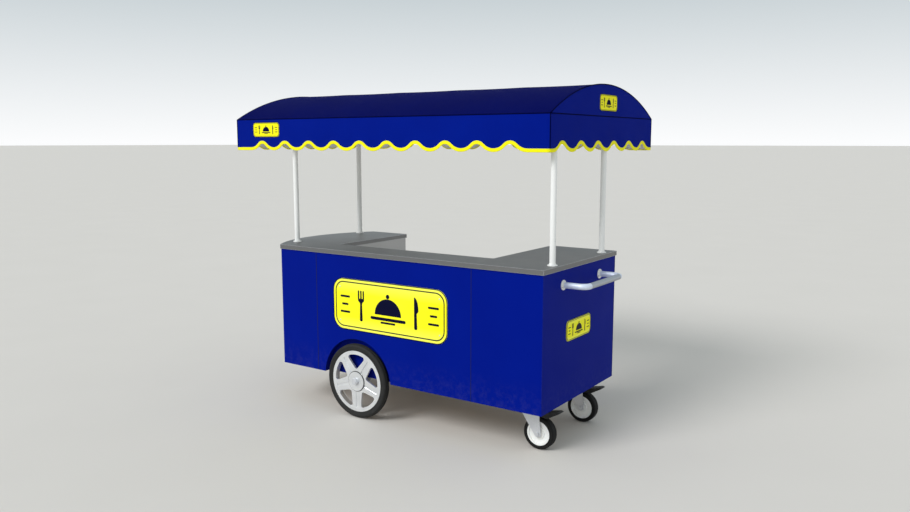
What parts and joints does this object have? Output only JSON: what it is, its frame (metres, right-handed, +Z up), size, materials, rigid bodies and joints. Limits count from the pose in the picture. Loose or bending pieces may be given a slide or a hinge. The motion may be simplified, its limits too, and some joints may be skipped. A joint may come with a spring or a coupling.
{
  "type": "push vending cart",
  "caption": "Push vending cart with a round-ended cabinet body, a U-shaped worktop, vaulted canopy on posts, large side wheels, braked swivel casters and a push handle.",
  "frame": {"origin": "on the ground, in the middle of the whole cart's footprint", "axes": "+X towards the push handle along the front, +Y towards the vendor's side, +Z up"},
  "size_m": [2.4395, 1.4556, 1.9468],
  "materials": {
    "navy_panel": "semi-gloss navy paint",
    "frame_paint": "grey paint",
    "stainless": "brushed stainless",
    "board": "sealed plywood",
    "post_white": "white powder coat",
    "canopy_cloth": "coated navy canvas",
    "binding_tape": "yellow woven tape",
    "wheel_silver": "painted silver casting",
    "tyre_black": "matte rubber",
    "caster_tyre": "matte rubber",
    "caster_hub": "moulded",
    "zinc": "bright zinc plating",
    "pedal_black": "black powder coat",
    "handle_chrome": "polished",
    "grip_steel": "satin tube",
    "sign_yellow": "gloss sheet",
    "bearing_steel": "ground"
  },
  "bodies": {
    "cart": {"chassis_tubes": "frame_paint", "frame_uprights": "frame_paint", "frame_top_rails": "frame_paint", "deck_floor": "board", "front_panel": "navy_panel", "left_end_panel": "navy_panel", "right_end_panel": "navy_panel", "rear_low_panel": "navy_panel", "wheel_wells": "navy_panel", "bay_wall_panels": "stainless", "worktop_sheet": "stainless", "worktop_board": "board", "left_rear_frame": "navy_panel", "right_rear_frame": "navy_panel", "door_hinges": "zinc", "cabinet_shelves": "stainless", "shelf_cleats": "zinc", "wheel_axle": "zinc", "axle_hangers": "frame_paint", "axle_spacers": "zinc", "axle_nuts": "zinc", "caster_top_plates": "zinc", "caster_bolts": "zinc", "tube_flanges": "post_white", "flange_screws": "zinc", "canopy_posts": "post_white", "handle_arms": "handle_chrome", "handle_grip": "grip_steel", "canopy_roof_cloth": "canopy_cloth", "canopy_end_cloths": "canopy_cloth", "canopy_valances": "canopy_cloth", "valance_binding": "binding_tape", "canopy_eave_rails": "post_white", "canopy_cross_rails": "post_white", "post_spigots": "zinc", "canopy_bows": "post_white", "canopy_purlins": "post_white", "front_sign": "sign_yellow", "end_sign": "sign_yellow", "canopy_badges": "sign_yellow"},
    "front_wheel": {"front_wheel_tyre": "tyre_black", "front_wheel_rim": "wheel_silver", "front_wheel_bearings": "bearing_steel"},
    "front_caster": {"front_caster_fork": "zinc", "front_caster_axle": "zinc"},
    "front_caster_wheel": {"front_caster_tyre": "caster_tyre", "front_caster_hub": "caster_hub"},
    "front_caster_pedal": {"front_caster_brake": "pedal_black"},
    "rear_wheel": {"rear_wheel_tyre": "tyre_black", "rear_wheel_rim": "wheel_silver", "rear_wheel_bearings": "bearing_steel"},
    "rear_caster": {"rear_caster_fork": "zinc", "rear_caster_axle": "zinc"},
    "rear_caster_wheel": {"rear_caster_tyre": "caster_tyre", "rear_caster_hub": "caster_hub"},
    "rear_caster_pedal": {"rear_caster_brake": "pedal_black"},
    "left_door": {"left_door": "navy_panel"},
    "left_latch": {"left_door_latch": "handle_chrome"},
    "right_door": {"right_door": "navy_panel"},
    "right_latch": {"right_door_latch": "handle_chrome"}
  },
  "joints": [
    {"name": "front_wheel_spin", "type": "hinge", "parent": "cart", "child": "front_wheel", "pos_m": [-0.1635, -0.69975, 0.2244], "axis": [0, 1, 0], "continuous": true},
    {"name": "front_caster_swivel", "type": "hinge", "parent": "cart", "child": "front_caster", "pos_m": [0.9215, -0.51975, 0.222], "axis": [0, 0, 1], "continuous": true},
    {"name": "front_caster_roll", "type": "hinge", "parent": "front_caster", "child": "front_caster_wheel", "pos_m": [0.9715, -0.51975, 0.0895], "axis": [0, 1, 0], "continuous": true},
    {"name": "front_caster_brake_press", "type": "hinge", "parent": "front_caster", "child": "front_caster_pedal", "pos_m": [0.9635, -0.51975, 0.1975], "axis": [0, 1, 0], "range_deg": [0, 12]},
    {"name": "rear_wheel_spin", "type": "hinge", "parent": "cart", "child": "rear_wheel", "pos_m": [-0.1635, 0.18625, 0.2244], "axis": [0, 1, 0], "continuous": true},
    {"name": "rear_caster_swivel", "type": "hinge", "parent": "cart", "child": "rear_caster", "pos_m": [0.9215, 0.00625, 0.222], "axis": [0, 0, 1], "continuous": true},
    {"name": "rear_caster_roll", "type": "hinge", "parent": "rear_caster", "child": "rear_caster_wheel", "pos_m": [0.9715, 0.00625, 0.0895], "axis": [0, 1, 0], "continuous": true},
    {"name": "rear_caster_brake_press", "type": "hinge", "parent": "rear_caster", "child": "rear_caster_pedal", "pos_m": [0.9635, 0.00625, 0.1975], "axis": [0, 1, 0], "range_deg": [0, 12]},
    {"name": "left_door_swing", "type": "hinge", "parent": "cart", "child": "left_door", "pos_m": [-0.731, 0.19275, 0.625], "axis": [0, 0, 1], "range_deg": [0, 110]},
    {"name": "left_latch_turn", "type": "hinge", "parent": "left_door", "child": "left_latch", "pos_m": [-0.5495, 0.18625, 0.65], "axis": [0, -1, 0], "range_deg": [0, 90]},
    {"name": "right_door_swing", "type": "hinge", "parent": "cart", "child": "right_door", "pos_m": [1.034, 0.19275, 0.625], "axis": [0, 0, -1], "range_deg": [0, 110]},
    {"name": "right_latch_turn", "type": "hinge", "parent": "right_door", "child": "right_latch", "pos_m": [0.7245, 0.18625, 0.65], "axis": [0, 1, 0], "range_deg": [0, 90]}
  ]
}
